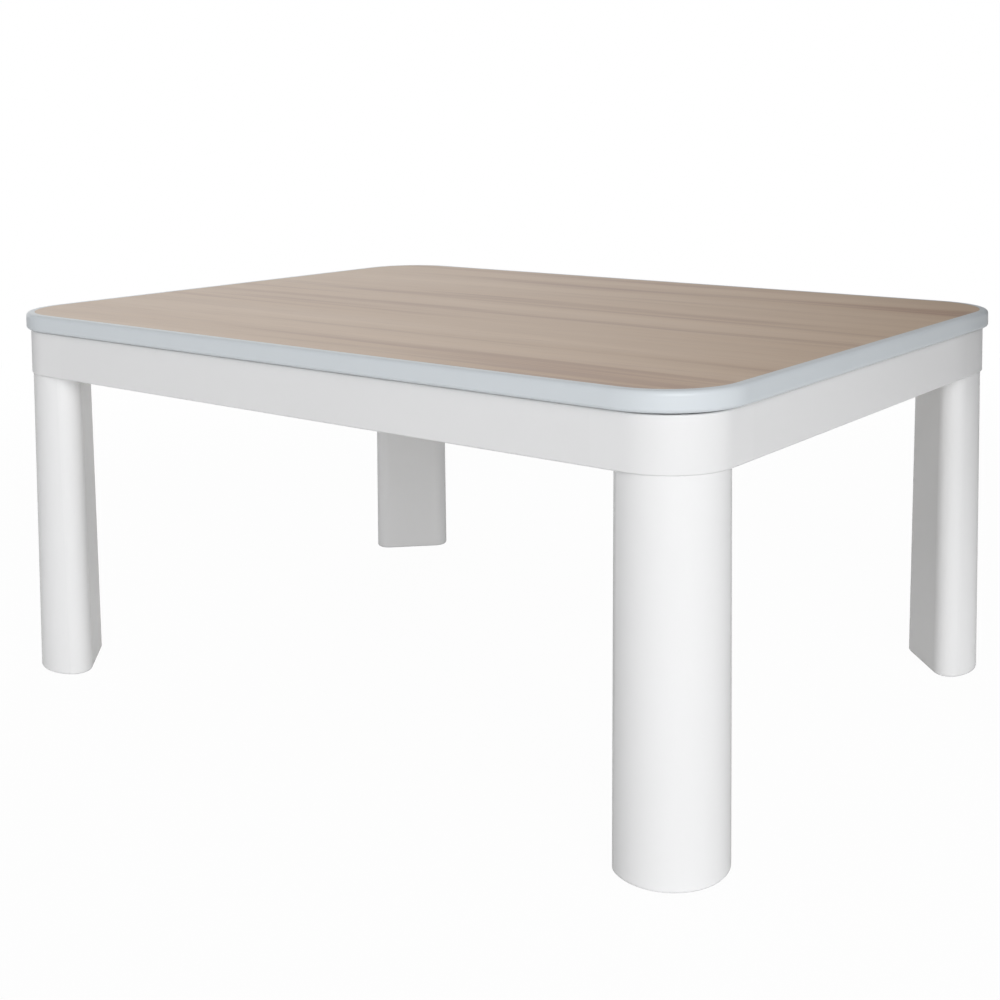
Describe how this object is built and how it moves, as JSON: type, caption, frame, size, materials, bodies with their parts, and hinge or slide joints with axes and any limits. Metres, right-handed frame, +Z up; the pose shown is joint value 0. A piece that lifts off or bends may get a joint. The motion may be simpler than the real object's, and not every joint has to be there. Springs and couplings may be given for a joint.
{
  "type": "kotatsu table",
  "caption": "Low heated table: a reversible woodgrain top with a soft pale edge lies on a white frame with D-section legs and a quartz heater with a wire guard underneath",
  "frame": {"origin": "on the floor, under the middle of the table", "axes": "+X along the long side to the right, +Y from the front to the back (the power inlet is on the heater's +Y wall), +Z up"},
  "size_m": [0.8, 0.6, 0.357],
  "materials": {
    "woodgrain": "printed greyish-brown woodgrain sheet, satin",
    "reverse_sheet": "plain off-white sheet on the reverse side",
    "board": "particle board",
    "edge_moulding": "soft pale blue-white moulding",
    "white_rail": "fibreboard wrapped in a plain white film",
    "white_plastic": "glossy white moulded plastic",
    "bare_wood": "planed softwood",
    "rubber": "soft black rubber",
    "felt": "brown-grey felt",
    "zinc_steel": "zinc plated steel",
    "heater_steel": "dark grey baked paint",
    "bezel_plastic": "black heat-resistant plastic",
    "guard_wire": "black enamelled wire",
    "reflector_steel": "bright aluminised sheet",
    "quartz": "milky quartz",
    "coil_wire": "oxidised resistance wire",
    "ceramic": "unglazed white ceramic",
    "insulation": "pressed mineral fibre",
    "terminal_plastic": "cream moulded plastic",
    "lead_sleeve": "woven glass sleeve",
    "brass": "plain brass"
  },
  "bodies": {
    "frame": {"long_rail_front": "white_rail", "long_rail_back": "white_rail", "short_rail_left": "white_rail", "short_rail_right": "white_rail", "corner_block_back_right": "white_plastic", "corner_block_back_left": "white_plastic", "corner_block_front_right": "white_plastic", "corner_block_front_left": "white_plastic", "leg_back_right": "white_plastic", "leg_back_left": "white_plastic", "leg_front_right": "white_plastic", "leg_front_left": "white_plastic", "foot_caps": "white_plastic", "tabletop_pads": "rubber", "foot_pads": "felt", "corner_block_screws": "zinc_steel", "leg_bolts": "zinc_steel", "leg_washers": "zinc_steel", "leg_nuts": "zinc_steel", "cross_rail_brackets": "zinc_steel", "bracket_screws": "zinc_steel", "heater_mounting_screws": "zinc_steel", "bezel_screws": "zinc_steel", "inlet_screws": "zinc_steel", "cross_rail_left": "bare_wood", "cross_rail_right": "bare_wood", "heater_housing": "heater_steel", "heater_insulation": "insulation", "heater_bezel": "bezel_plastic", "power_inlet": "bezel_plastic", "heater_guard": "guard_wire", "heater_reflector": "reflector_steel", "tube_bracket_left": "zinc_steel", "tube_bracket_right": "zinc_steel", "quartz_tube_front": "quartz", "quartz_tube_back": "quartz", "heating_coil_front": "coil_wire", "heating_coil_back": "coil_wire", "tube_end_caps": "ceramic", "terminal_block": "terminal_plastic", "thermostat": "zinc_steel", "thermal_fuse": "lead_sleeve", "heater_leads": "lead_sleeve", "inlet_pins": "brass"},
    "tabletop": {"tabletop_core": "board", "tabletop_woodgrain_face": "woodgrain", "tabletop_reverse_face": "reverse_sheet", "tabletop_edge_moulding": "edge_moulding"}
  },
  "joints": [
    {"name": "tabletop_lift", "type": "slide", "parent": "frame", "child": "tabletop", "axis": [0, 0, 1], "range_m": [0, 0.12]}
  ]
}
